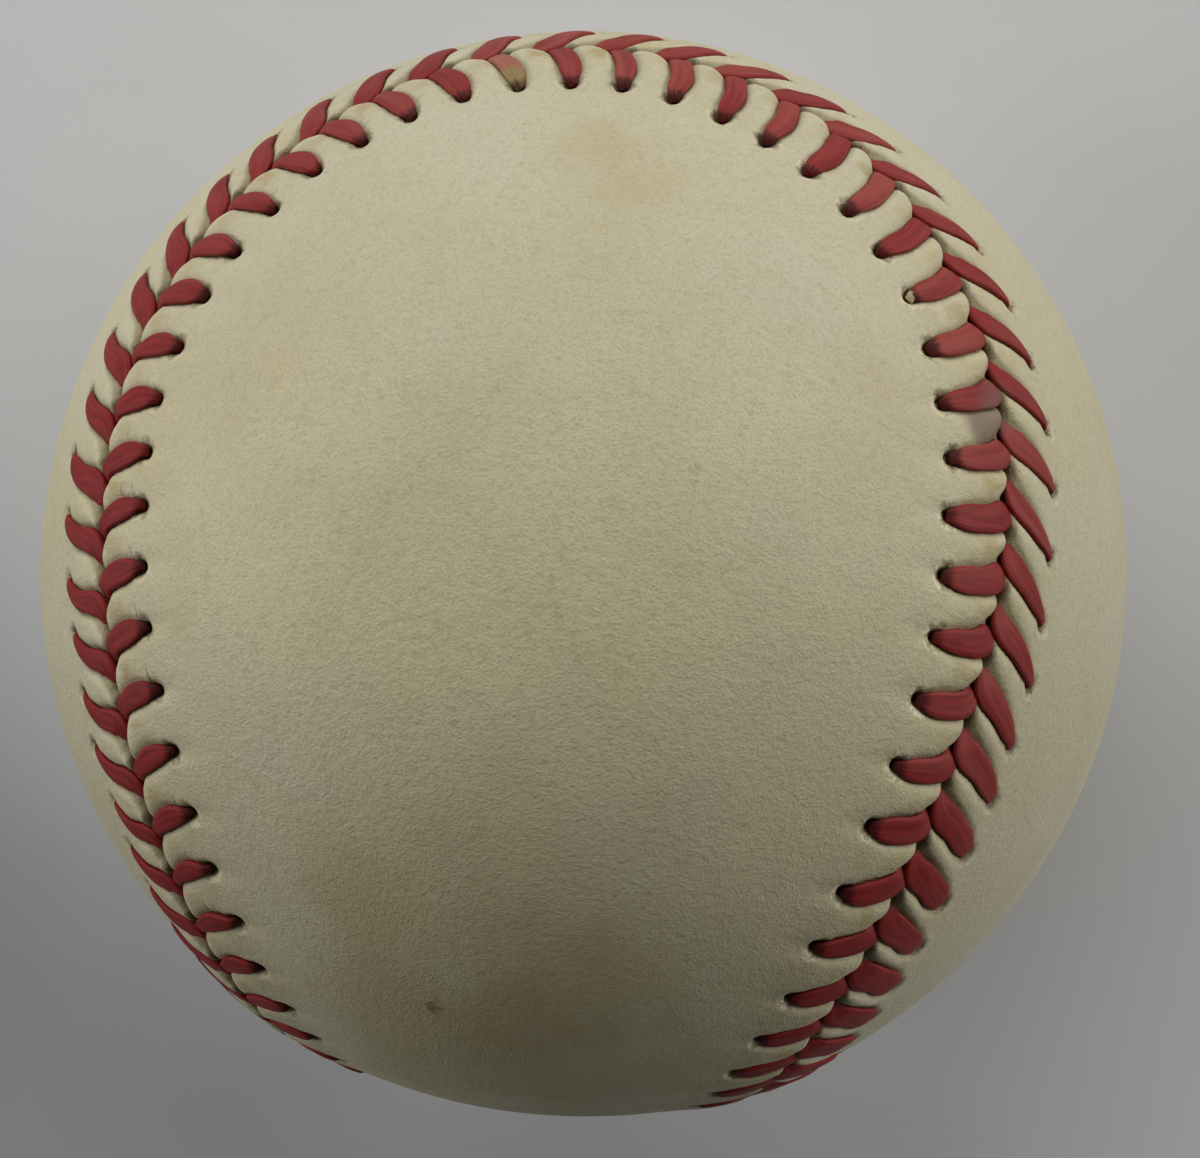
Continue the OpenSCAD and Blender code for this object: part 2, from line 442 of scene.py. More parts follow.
# Evenly spread points of one panel, far enough from the seam
def lobeRays(leg, away, columnRays, columnAsides, cuts):
    bpy.ops.object.select_all(action="DESELECT")
    bpy.ops.mesh.primitive_ico_sphere_add(subdivisions=cuts, radius=1)
    ball = bpy.context.object
    rays = unit(np.array([v.co for v in ball.data.vertices]))
    bpy.data.objects.remove(ball)
    kept = []
    for part in np.array_split(rays, 20):
        near = part @ columnRays.T
        best = near.argmax(axis=1)
        side = (part*columnAsides[best]).sum(axis=1)*leg["sign"]
        apart = np.arccos(np.clip(near.max(axis=1), -1, 1))*seam["ballRadius"]
        kept.append(part[(side > 0) & (apart > away)])
    return np.vstack(kept)


# The strip beside the seam, from its turned-down edge inwards
def makeStrip(name, leg, station, crests):
    rows = np.array(cover["rows"])
    bpy.ops.mesh.primitive_grid_add(x_subdivisions=len(station) - 1,
                                    y_subdivisions=len(rows), size=1)
    strip = bpy.context.object
    strip.name = name
    flank = legDistances(leg, station, np.full(len(station), cover["edge"]))[0]
    edge = cover["edge"] + cover["notch"]*smoothStep(*cover["notchFlanks"], flank)
    for height, turn, start in cover["edgeWaves"]:
        edge += height*np.sin(station*turn + start)
    edge[-1] = edge[0]
    held = smoothStep(*cover["edgeFades"], rows)[:, None]
    side = rows[:, None] + edge[None]*held + cover["edge"]*(1 - held)
    stations, away = (values.ravel() for values in
                      np.broadcast_arrays(station, rows[:, None]))
    lift, flank, hole = leatherLift(leg, stations, side.ravel(), away, crests)
    ray = beside(stations, side.ravel()*leg["sign"])
    lift += swell(ray)
    top = ray*(seam["ballRadius"] + lift)[:, None]
    wall = ray[:len(station)]*(seam["ballRadius"] + cover["insideLift"])
    spots = np.vstack([wall, top])*millimetre
    strip.data.vertices.foreach_set("co", spots.astype(np.float32).ravel())

    near, far = np.zeros(len(station)), np.full(len(station), farAway)
    addPoints(strip,
              edgeAway=np.concatenate([near, away]),
              holeAway=np.concatenate([far, np.minimum(hole, farAway)]),
              flankAway=np.concatenate([far, np.clip(flank, -1, farAway)]),
              seamSide=np.concatenate([near, side.ravel()]))
    uvSides = np.vstack([side[:1], side])*leg["sign"]
    uvRuns = np.broadcast_to(station + leg["lag"]/pitch, uvSides.shape)
    uv = np.stack([uvRuns, uvSides], axis=-1).reshape(-1, 2)
    corners = np.zeros(len(strip.data.loops), int)
    strip.data.loops.foreach_get("vertex_index", corners)
    strip.data.uv_layers[0].name = "UVMap"
    strip.data.uv_layers[0].data.foreach_set(
        "uv", uv[corners].astype(np.float32).ravel())
    return strip, side


# The broad leather inside the strip, or the underside
def makePatch(name, leg, station, start, crests, outward):
    columnRays = beside(station, np.zeros(len(station)))
    columnAsides = seamFrame(station + roundSeam(seam["ahead"], station))[2]
    form = cover["patch"] if outward else cover["lining"]
    loop = beside(station, start*leg["sign"])
    inner = [beside(station[::skip], np.full(len(station[::skip]), far)*leg["sign"])
             for far, skip in form["rings"]]
    inner.append(lobeRays(leg, form["rings"][-1][0] + cover["ringGap"], columnRays,
                          columnAsides, form["cuts"]))
    inner = np.vstack(inner)
    faces = patchFaces(loop, inner, leg["sign"], outward)
    rays = np.vstack([loop, inner])
    if outward:
        lifts = swell(rays)
        lifts[:len(loop)] += leatherLift(leg, station, start, start, crests)[0]
    else:
        apart = np.arccos(np.clip((rays @ columnRays[::4].T).max(axis=1), -1, 1))
        lifts = np.where(apart*seam["ballRadius"] < cover["liningStart"],
                         cover["insideLift"], cover["liningLift"])
    patch = meshObject(name, rays*(seam["ballRadius"] + lifts)[:, None], faces)
    far = np.full(len(rays), farAway)
    addPoints(patch, edgeAway=far, holeAway=far, flankAway=far, seamSide=far)
    return patch


def makePanel(name, key):
    leg = legs[key]
    middle = smoothPath(leg["knots"], legRings)
    order = np.argsort(middle[:, 1])
    leg["middleSides"], leg["middleRuns"] = middle[order, 1], middle[order, 0]
    crests = chance.normal(1, cover["lobeSpread"], seam["stitches"])
    crests *= roundSeam(leg["plump"], np.arange(seam["stitches"]))
    columns = cover["columns"]*seam["stitches"]
    station = np.arange(columns + 1)/cover["columns"] + 0.5
    strip, side = makeStrip(name, leg, station, crests)
    patches = [makePatch(name, leg, station[:-1], start[:-1], crests, outward)
               for start, outward in ((side[-1], True), (side[0], False))]
    selectOnly(strip, *patches)
    bpy.ops.object.join()
    finishShape(strip, merge=True)
    return strip


threadForm = {
    "points": 14,            # round the thread
    "groove": 0.05,          # depth of the line between its two plies
    "grooveShare": 0.3,
    "grooveWidths": (0.7, 1.2),   # a narrower thread shows no line
    "flatness": (0.75, 0.5),
    "hiddenLift": -0.93,     # under the leather, with this width and thickness
    "hiddenWidth": 0.8,
    "hiddenThick": 0.45,
    "hiddenRings": 3,
    "twist": (-0.55, 0.55),  # how the plies' line crosses over, hole to slot
    "twistSpread": 0.12,
    "steep": 0.12,           # a ring that moves sideways less than this goes down
    "uvRound": 3.2,          # length of the pattern round the thread
    "rubbed": ("a", 28),     # the stitch whose dye is worn away
}


# Flattened waxed thread: the outline of one ring, bottom point first
def threadOutline(twist):
    angle = np.arange(threadForm["points"])*2*math.pi/threadForm["points"]
    sine, cosine = np.sin(angle), np.cos(angle)
    across = np.sign(sine)*np.abs(sine)**threadForm["flatness"][0]
    up = -np.sign(cosine)*np.abs(cosine)**threadForm["flatness"][1]
    dent = np.exp(-((across[None] - twist[:, None])/threadForm["grooveShare"])**2)
    return across, up, dent*(up > 0.1)


# Rings of one needle's thread: over one panel, down the slot, under the other
# panel. Each has station, side, lift, width, thickness, twist, distance from its
# hole, and whether its outline is turned half round
def threadRings(keys):
    share = np.linspace(0, 1, legRings)
    under = np.linspace(0, 1, threadForm["hiddenRings"] + 2)[1:-1]
    flat = np.zeros(len(under))
    twistStart, twistEnd = threadForm["twist"]
    rings = []
    for step in range(seam["stitches"]):
        leg, nextLeg = legs[keys[step % 2]], legs[keys[(step + 1) % 2]]
        path = leg["paths"][step]
        nextPath = nextLeg["paths"][(step + 1) % seam["stitches"]]
        base = step - leg["lag"]/pitch
        side = path[:, 1]*leg["sign"]
        station = base + path[:, 0]/pitch/stretchAt(np.full(legRings, base), side)
        twist = twistStart + (twistEnd - twistStart)*share
        twist += chance.normal(0, threadForm["twistSpread"])
        hidden = (path[:, 2] < -0.02) & (share < 0.3)
        hole = np.hypot(path[:, 0] - path[holeRing, 0], path[:, 1] - path[holeRing, 1])
        hole = leg["soilAndShade"] + np.where(hidden, 0, hole)
        turned = step % 2
        rings.append([station, side, *path[:, 2:5].T, twist, hole,
                      np.full(legRings, turned)])
        nextStation = step + 1 - nextLeg["lag"]/pitch + nextPath[0, 0]/pitch
        nextSide = nextPath[0, 1]*nextLeg["sign"]
        rings.append([station[-1]*(1 - under) + nextStation*under,
                      side[-1]*(1 - under) + nextSide*under,
                      flat + threadForm["hiddenLift"], flat + threadForm["hiddenWidth"],
                      flat + threadForm["hiddenThick"], flat, flat, flat + turned])
    return np.concatenate(rings, axis=1)


# One needle's thread as a closed tube of flattened rings. Keys tell the panels
# that it goes over in turn
def makeThread(name, keys):
    station, side, lift, width, thick, twist, hole, turned = threadRings(keys)
    count, points = len(station), threadForm["points"]
    ray = beside(station, side)
    middle = ray*(seam["ballRadius"] + lift)[:, None]
    ahead = np.roll(middle, -1, axis=0) - np.roll(middle, 1, axis=0)
    level = ahead - ray*(ahead*ray).sum(axis=1, keepdims=True)
    steep = np.linalg.norm(level, axis=1, keepdims=True) < threadForm["steep"]
    level = np.where(steep, np.roll(level, -2, axis=0), level)
    across = unit(np.cross(level, ray))
    over = unit(np.cross(across, ahead))
    shapeAcross, shapeUp, dent = threadOutline(twist)
    sink = smoothStep(*threadForm["grooveWidths"], width)[:, None]
    sink = threadForm["groove"]*dent*sink
    place = np.arange(points)[None] + turned.astype(int)[:, None]*(points//2)
    place %= points
    x = np.take_along_axis(shapeAcross[None]*width[:, None]/2, place, axis=1)
    y = np.take_along_axis(shapeUp[None]*thick[:, None]/2 - sink, place, axis=1)
    spots = middle[:, None] + across[:, None]*x[..., None] + over[:, None]*y[..., None]
    ring, point = np.meshgrid(np.arange(count), np.arange(points), indexing="ij")
    ringNext, pointNext = (ring + 1) % count, (point + 1) % points
    faces = np.stack([ring*points + point, ringNext*points + point,
                      ringNext*points + pointNext, ring*points + pointNext],
                     axis=-1).reshape(-1, 4)
    thread = meshObject(name, spots.reshape(-1, 3), faces)

    hops = np.linalg.norm(np.diff(middle, axis=0), axis=1)
    run = np.concatenate([[0], np.cumsum(hops)])
    closing = np.append(run[1:], run[-1] + 1)
    turn = place/points
    uv = np.stack([
        np.stack([run[ring], closing[ring], closing[ring], run[ring]], axis=-1),
        np.stack([turn, turn, turn + 1/points, turn + 1/points], axis=-1)
        * threadForm["uvRound"]], axis=-1)
    thread.data.uv_layers[0].data.foreach_set("uv", uv.astype(np.float32).ravel())
    rubbed = [(keys[k % 2], k) == threadForm["rubbed"] for k in range(seam["stitches"])]
    perStitch = points*(legRings + threadForm["hiddenRings"])
    addPoints(thread, holeAway=np.repeat(hole, points),
              stitchTone=np.repeat(chance.uniform(0, 1, seam["stitches"]), perStitch),
              rubbed=np.repeat(rubbed, perStitch))
    finishShape(thread)
    return thread


# Node helpers
def shade(red, green, blue):
    parts = (c/255 for c in (red, green, blue))
    return tuple(c/12.92 if c < 0.04045 else ((c + 0.055)/1.055)**2.4
                 for c in parts) + (1.0,)


def fill(tree, node, inputs):
    for key, value in inputs.items():
        if isinstance(value, bpy.types.NodeSocket):
            tree.links.new(value, node.inputs[key])
        else:
            node.inputs[key].default_value = value


def addNode(tree, kind, inputs={}, **settings):
    made = tree.nodes.new("ShaderNode" + kind)
    for key, value in settings.items():
        setattr(made, key, value)
    fill(tree, made, inputs)
    return made


def newFinish(name):
    finish = bpy.data.materials.new(name)
    finish.use_nodes = True
    tree = finish.node_tree
    return finish, tree, tree.nodes["Principled BSDF"]


def math2(tree, operation, first, second=0.0, clamp=False):
    return addNode(tree, "Math", {0: first, 1: second}, operation=operation,
                   use_clamp=clamp).outputs[0]


def times(tree, first, *others):
    for other in others:
        first = math2(tree, "MULTIPLY", first, other)
    return first


def plus(tree, first, *others):
    for other in others:
        first = math2(tree, "ADD", first, other)
    return first


def difference(tree, first, second):
    return math2(tree, "ABSOLUTE", math2(tree, "SUBTRACT", first, second))


def fade(tree, value, low, high, start=0.0, end=1.0):
    return addNode(tree, "MapRange", {"Value": value, "From Min": low, "From Max": high,
                                      "To Min": start, "To Max": end},
                   interpolation_type="SMOOTHSTEP").outputs["Result"]


def blend(tree, share, first, second):
    return addNode(tree, "Mix", {0: share, 6: first, 7: second},
                   data_type="RGBA").outputs[2]


def noise(tree, where, scale, detail=2.0, roughness=0.5):
    return addNode(tree, "TexNoise", {"Vector": where, "Scale": scale, "Detail": detail,
                                      "Roughness": roughness}).outputs["Fac"]


def bump(tree, height, distance, strength=1.0, normal=None):
    inputs = {"Height": height, "Distance": distance, "Strength": strength}
    if normal is not None:
        inputs["Normal"] = normal
    return addNode(tree, "Bump", inputs).outputs["Normal"]


def attribute(tree, name):
    return addNode(tree, "Attribute", attribute_name=name).outputs["Fac"]


# A soft spot with a ragged rim round a place given in millimetres
def spot(tree, place, where, reach, ragged, strength, core=0.15):
    middle = [c*millimetre for c in where]
    away = addNode(tree, "VectorMath", {0: place, 1: middle},
                   operation="DISTANCE").outputs["Value"]
    reach *= millimetre
    wobble = noise(tree, place, 0.8/(ragged*millimetre), 3.0, 0.55)
    away = plus(tree, away, fade(tree, wobble, 0.3, 0.7, -0.4*reach, 0.4*reach))
    return fade(tree, away, reach, core*reach, 0, strength)


def objectPlace(tree):
    return addNode(tree, "TexCoord").outputs["Object"]


leatherFinish = {
    "cream": shade(204, 195, 159),
    "pale": shade(208, 201, 172),
    "yellowed": shade(190, 173, 122),
    "olive": shade(116, 100, 58),
    "smudge": shade(176, 156, 104),
    "brown": shade(98, 80, 56),
    "dark": shade(50, 34, 24),
    "speck": shade(168, 157, 122),
    "torn": shade(232, 222, 188),
    # Stains, and two pale patches of painted light: place in mm, reach, how ragged,
    # strength and colour
    "stains": [
        ((1.3, 29.0, 23.0), 6.5, 5.0, 0.3, shade(186, 164, 100)),
        ((-6.8, 8.2, 35.6), 9.0, 6.0, 0.20, shade(184, 164, 112)),
        ((9.6, 4.8, 35.6), 10.0, 7.0, 0.14, shade(184, 166, 112)),
        # Painted light: a broad pale patch that lightens the middle of the ball where
        # it faces the camera
        ((-5.0, 1.0, 36.6), 26.0, 9.0, 0.75, shade(215, 206, 165)),
        ((0.0, -27.0, 25.3), 19.0, 8.0, 0.3, shade(164, 145, 82)),
        # Painted light: a pale patch that lightens the face up to the right of the
        # middle
        ((9.9, 12.3, 33.4), 11.0, 7.0, 0.5, shade(216, 207, 174)),
        ((-11.7, 8.2, 34.1), 7.0, 5.0, 0.5, shade(215, 206, 166)),
        ((1.5, -22.5, 29.3), 10.0, 6.0, 0.36, shade(170, 148, 82)),
        ((-1.0, -13.5, 34.4), 14.0, 8.0, 0.18, shade(176, 156, 100)),
        ((18.0, 14.4, 29.2), 7.0, 5.0, 0.16, shade(186, 168, 118)),
        ((-18.4, 16.4, 27.9), 6.5, 5.0, 0.12, shade(190, 172, 124)),
        ((-11.3, 4.3, 35.2), 0.32, 0.3, 0.45, shade(150, 118, 92)),
        ((-3.9, -22.8, 29.1), 0.75, 0.5, 0.8, shade(104, 76, 42)),
        ((3.4, 16.8, 33.0), 0.35, 0.3, 0.4, shade(170, 140, 100)),
        ((-6.0, -17.9, 32.1), 0.3, 0.3, 0.5, shade(140, 108, 62)),
        ((-14.0, -21.0, -27.2), 14.0, 9.0, 0.25, shade(172, 152, 100)),
        ((20.0, -12.0, -28.8), 9.0, 7.0, 0.2, shade(180, 160, 108)),
        ((0.0, 34.5, -13.8), 10.0, 7.0, 0.2, shade(184, 166, 112)),
        ((0.0, 34.9, 12.2), 3.0, 2.0, 0.2, shade(176, 156, 100))],
    # The same for a dull worn patch and a crumb of leather, with their cores' share
    "worn": ((25.6, 14.6, 22.3), 2.2, 7.0, 0.95, 0.5),
    "wornTone": shade(136, 117, 98),
    "crumb": ((20.17, 21.37, 22.48), 0.52, 0.5, 0.85, 0.55),
    "crumbTone": shade(222, 210, 172),
    "creases": (2.75, 3.45),   # how far from the seam they run
    # Noises: scale, detail and roughness
    "noises": {
        "broad": (55.0, 3.0, 0.55),
        "mottle": (240.0, 4.0, 0.6),
        "wrinkle": (420.0, 3.0, 0.5),
        "dirt": (700.0, 4.0, 0.65),
        "waver": (1300.0, 2.0, 0.5),
        "torn": (1500.0, 3.0, 0.6),
        "hide": (2100.0, 2.0, 0.55),
        "pebble": (6000.0, 2.0, 0.6)},
    # Relief, coarse to fine: distance and strength
    "relief": {
        "wrinkle": (0.00012, 0.2),
        "hide": (0.00007, 0.8),
        "pebble": (0.00006, 0.85),
        "crease": (0.00015, -0.7)},
}


# What the leather is painted by: place on the ball, run and side beside the seam,
# distances from edge, hole and leg, three draws for each stitch, and noises
def leatherGuides(tree):
    place = objectPlace(tree)
    axes = addNode(tree, "SeparateXYZ", {0: place}).outputs
    uv = addNode(tree, "UVMap", uv_map="UVMap").outputs["UV"]
    across = addNode(tree, "SeparateXYZ", {0: uv}).outputs
    cell = plus(tree, across["X"], 0.5)
    stitch = addNode(tree, "TexWhiteNoise", {"W": math2(tree, "FLOOR", cell)},
                     noise_dimensions="1D").outputs["Color"]
    at = {
        "place": place,
        "rightward": axes["X"],
        "upward": axes["Y"],
        "run": across["X"],
        "side": across["Y"],
        "cell": cell,
        "panel": fade(tree, across["Y"], -0.2, 0.2),
        "draws": addNode(tree, "SeparateColor", {0: stitch}).outputs,
    }
    for name in ("edgeAway", "holeAway", "flankAway", "seamSide"):
        at[name] = attribute(tree, name)
    for name, values in leatherFinish["noises"].items():
        at[name] = noise(tree, place, *values)
    return at


# Cream hide with its stains and two pale patches of painted light, and the darker
# pits of its grain, which are fainter where the leather is stretched
def bareLeather(tree, at):
    look = leatherFinish
    colour = blend(tree, fade(tree, at["broad"], 0.35, 0.7), look["cream"],
                   look["pale"])
    colour = blend(tree, fade(tree, at["mottle"], 0.5, 0.78, 0, 0.22), colour,
                   look["yellowed"])
    for *stain, tone in look["stains"]:
        colour = blend(tree, spot(tree, at["place"], *stain), colour, tone)
    pits = times(tree, fade(tree, at["pebble"], 0.54, 0.32, 0, 0.34),
                 fade(tree, at["seamSide"], 1.5, 6.0, 0.35, 1.0))
    colour = blend(tree, pits, colour, look["speck"])
    return blend(tree, fade(tree, at["hide"], 0.55, 0.3, 0, 0.16), colour,
                 look["speck"])


# Handling dirt in the dips beside the stitches, and olive and brown at the slot, partly
# dirt and partly painted shade where the edge turns down into the gap
def seamDirtAndShade(tree, at, colour):
    look = leatherFinish
    tint = times(tree, fade(tree, at["seamSide"], 6.5, 2.0),
                 fade(tree, at["dirt"], 0.42, 0.7, 0, 0.42))
    colour = blend(tree, tint, colour, look["yellowed"])
    # Painted shade, partly dirt: olive then brown towards the slot's edge, reaching
    # further on the second panel
    slot = plus(tree, at["edgeAway"], fade(tree, at["dirt"], 0.3, 0.7, -0.12, 0.12),
                fade(tree, at["panel"], 0, 1, -0.2, 0))
    colour = blend(tree, fade(tree, slot, 0.34, 0.1, 0, 0.6), colour, look["olive"])
    return blend(tree, fade(tree, slot, 0.06, -0.05, 0, 0.85), colour, look["brown"])


# Hole mouths going olive, brown and dark, partly soiled frayed leather and partly
# painted shade down the hole, pale torn flaps, and painted shade along each leg
def holeMouths(tree, at, colour):
    look = leatherFinish
    panel, holeAway, flankAway = at["panel"], at["holeAway"], at["flankAway"]
    # Partly soiled leather, partly painted shade: the mouth darkens towards the hole
    mouth = plus(tree, holeAway, fade(tree, at["torn"], 0.3, 0.7, -0.22, 0.22))
    rim = times(tree, fade(tree, mouth, 0.95, 0.6, 0, 0.5),
                fade(tree, panel, 0, 1, 0.5, 1.0))
    colour = blend(tree, rim, colour, look["olive"])
    colour = blend(tree, fade(tree, mouth, 0.6, 0.38, 0, 0.7), colour, look["brown"])
    colour = blend(tree, fade(tree, mouth, 0.3, 0.12, 0, 0.85), colour, look["dark"])
    flap = times(tree, fade(tree, at["torn"], 0.47, 0.55),
                 fade(tree, holeAway, 1.15, 0.85),
                 fade(tree, holeAway, 0.45, 0.6, 0, 0.85),
                 fade(tree, panel, 0, 1, 0.25, 1.0),
                 fade(tree, at["rightward"], -0.012, 0.004, 0.3, 1.0),
                 fade(tree, at["upward"], 0.002, 0.02, 1.0, 0.5))
    colour = blend(tree, flap, colour, look["torn"])
    # Painted shade beside each leg: an olive fringe, and brown under the thread's edge
    fringe = times(tree, fade(tree, flankAway, 0.42, 0.06, 0, 0.5),
                   fade(tree, panel, 0, 1, 1.0, 0.45))
    colour = blend(tree, fringe, colour, look["olive"])
    return blend(tree, fade(tree, flankAway, 0.05, -0.1, 0, 0.5), colour, look["brown"])


# A smudge of fingers on each lobe of the first panel, a worn patch and a crumb
def handMarks(tree, at, colour):
    look = leatherFinish
    onLobe = math2(tree, "FRACT", at["run"])
    ragged = plus(tree, at["side"], fade(tree, at["dirt"], 0.3, 0.7, -0.5, 0.5))
    smudge = times(
        tree, fade(tree, difference(tree, onLobe, 0.6), 0.3, 0.06),
        fade(tree, at["draws"][1], 0.1, 0.8, 0.2, 0.75),
        fade(tree, difference(tree, ragged, 1.7), 1.2, 0.2))
    colour = blend(tree, smudge, colour, look["smudge"])
    worn = times(tree, spot(tree, at["place"], *look["worn"]), at["panel"])
    colour = blend(tree, worn, colour, look["wornTone"])
    return blend(tree, spot(tree, at["place"], *look["crumb"]), colour,
                 look["crumbTone"])


# Creases that run from a leg's side where its thread draws the leather, on the
# ball's left; their brown colour is painted shade in the crease
def creaseLines(tree, at):
    side = plus(tree, at["side"], fade(tree, at["waver"], 0.3, 0.7, -0.16, 0.16))
    lines = 0.0
    for draw, start in enumerate(leatherFinish["creases"]):
        middle = fade(tree, at["draws"][draw], 0, 1, start - 0.35, start + 0.35)
        line = times(tree, fade(tree, difference(tree, side, middle), 0.13, 0.03),
                     fade(tree, at["draws"][2 - draw], 0.2, 0.6))
        lines = math2(tree, "MAXIMUM", line, lines)
    return times(tree, lines,
                 fade(tree, math2(tree, "FRACT", at["cell"]), 0.42, 0.34),
                 fade(tree, at["rightward"], 0.004, -0.012),
                 fade(tree, at["flankAway"], 1.1, 0.4),
                 fade(tree, at["upward"], -0.004, 0.014, 1.0, 0.3))


def makeLeather():
    finish, tree, shader = newFinish("coverLeather")
    at = leatherGuides(tree)
    at["crease"] = creaseLines(tree, at)
    colour = bareLeather(tree, at)
    for coat in (seamDirtAndShade, holeMouths, handMarks):
        colour = coat(tree, at, colour)
    # Painted shade: brown in the creases
    colour = blend(tree, times(tree, at["crease"], 0.8), colour, leatherFinish["brown"])
    normal = None
    for name, (distance, strength) in leatherFinish["relief"].items():
        normal = bump(tree, at[name], distance, strength, normal)
    fill(tree, shader, {"Base Color": colour, "Specular IOR Level": 0.35,
                        "Roughness": fade(tree, at["mottle"], 0.3, 0.7, 0.5, 0.64),
                        "Normal": normal})
    return finish


threadFinish = {
    "crimson": shade(147, 37, 35),
    "deep": shade(114, 22, 22),
    "sheenTone": shade(160, 76, 67),
    "dark": shade(58, 19, 17),
    "tan": shade(150, 132, 86),
    "pink": shade(168, 106, 84),
    "mauve": shade(128, 88, 80),
    "bruised": ((26.2, 15.2, 21.7), 2.1, 7.0, 0.8, 0.35),   # as a stain
    "stretch": (0.35, 5.5, 1.0),      # fibres run along the thread
    "fibre": (1.0, 3.0, 0.6),         # as the leather's noises
    "ply": (0.35, 1.0, 0.5),
    "sheenAlong": (0.62, 0.78, 0),    # the side the painted sheen lies on
    "shortDarkShare": 0.16,
}


def makeThreadFinish():
    finish, tree, shader = newFinish("waxedThread")
    look = threadFinish
    place = objectPlace(tree)
    uv = addNode(tree, "UVMap", uv_map="UVMap").outputs["UV"]
    lines = addNode(tree, "VectorMath", {0: uv, 1: look["stretch"]},
                    operation="MULTIPLY").outputs[0]
    fibre, ply = noise(tree, lines, *look["fibre"]), noise(tree, lines, *look["ply"])
    tone = attribute(tree, "stitchTone")
    holeAway = attribute(tree, "holeAway")

    # Red dye, with a painted sheen of reflected light, paler towards the upper right
    # and more on some stitches and plies
    colour = blend(tree, fade(tree, fibre, 0.3, 0.7), look["deep"], look["crimson"])
    height = addNode(tree, "VectorMath", {0: place, 1: look["sheenAlong"]},
                     operation="DOT_PRODUCT").outputs["Value"]
    paintedSheen = times(tree, fade(tree, height, -0.016, 0.03, 0.0, 0.85),
                   fade(tree, tone, 0.0, 1.0, 0.4, 1.0),
                   fade(tree, ply, 0.3, 0.7, 0.3, 1.0))
    colour = blend(tree, paintedSheen, colour, look["sheenTone"])

    # The rubbed stitch and the bruised ones
    bare = blend(tree, fade(tree, plus(tree, holeAway, ply), 1.9, 3.1),
                 look["tan"], look["pink"])
    rubbed = times(tree, attribute(tree, "rubbed"),
                   fade(tree, fibre, 0.3, 0.7, 0.75, 0.95))
    colour = blend(tree, rubbed, colour, bare)
    colour = blend(tree, spot(tree, place, *look["bruised"]), colour, look["mauve"])

    # Dark ends where the thread goes into its hole, partly soiled thread and partly
    # painted shade in the hole, shorter high on the left
    axes = addNode(tree, "SeparateXYZ", {0: place}).outputs
    shortDark = times(tree, fade(tree, axes["X"], -0.004, -0.018),
                    fade(tree, axes["Y"], -0.006, 0.008, 0, look["shortDarkShare"]))
    ragged = plus(tree, holeAway, fade(tree, fibre, 0.3, 0.7, -0.12, 0.12),
                  fade(tree, tone, 0.0, 1.0, 0.12, -0.12), shortDark)
    colour = blend(tree, fade(tree, ragged, 0.44, 0.0, 0, 0.8), colour, look["dark"])
    colour = blend(tree, spot(tree, place, *leatherFinish["crumb"]), colour,
                   leatherFinish["crumbTone"])
    normal = bump(tree, ply, 0.00010, 0.25)
    normal = bump(tree, fibre, 0.00006, 0.5, normal)
    fill(tree, shader, {"Base Color": colour, "Roughness": 0.6,
                        "Specular IOR Level": 0.22, "Normal": normal})
    return finish


# Wound yarn: strands run round the ball in bands that cross each other.
# Sizes in millimetres; a band's half width counts from its great circle
windings = {
    "woundBaseWool": {
        "node": "base_wool_winding", "inside": "red_rubber_layer", "slot": "grey_wool",
        "strand": 2.1, "relief": 0.5, "halfWidth": 7.0, "fuzz": 0.00016,
        "tones": (shade(104, 104, 110), shade(140, 139, 143))},
    "woundWhiteWool": {
        "node": "white_wool_winding", "inside": "base_wool_winding",
        "slot": "white_wool",
        "strand": 1.7, "relief": 0.4, "halfWidth": 6.0, "fuzz": 0.00014,
        "tones": (shade(196, 190, 174), shade(222, 218, 206))},
    "woundGreyWool": {
        "node": "grey_wool_winding", "inside": "white_wool_winding",
        "slot": "grey_wool",
        "strand": 1.7, "relief": 0.4, "halfWidth": 6.5, "fuzz": 0.00014,
        "tones": (shade(112, 111, 114), shade(150, 148, 149))},
    "woundFinishYarn": {
        "node": "finish_yarn_winding", "inside": "grey_wool_winding",
        "slot": "finish_yarn",
        "strand": 0.62, "relief": 0.12, "halfWidth": 5.0, "fuzz": 0.00005,
        "tones": (shade(202, 194, 172), shade(226, 220, 204))},
}
windingBands = 46


# A made piece rides on the ball and stands for one of its nodes
def dressPiece(piece, node, finish):
    piece.data.materials.clear()
    piece.data.materials.append(finish)
    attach(piece, "root")
    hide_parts(node)


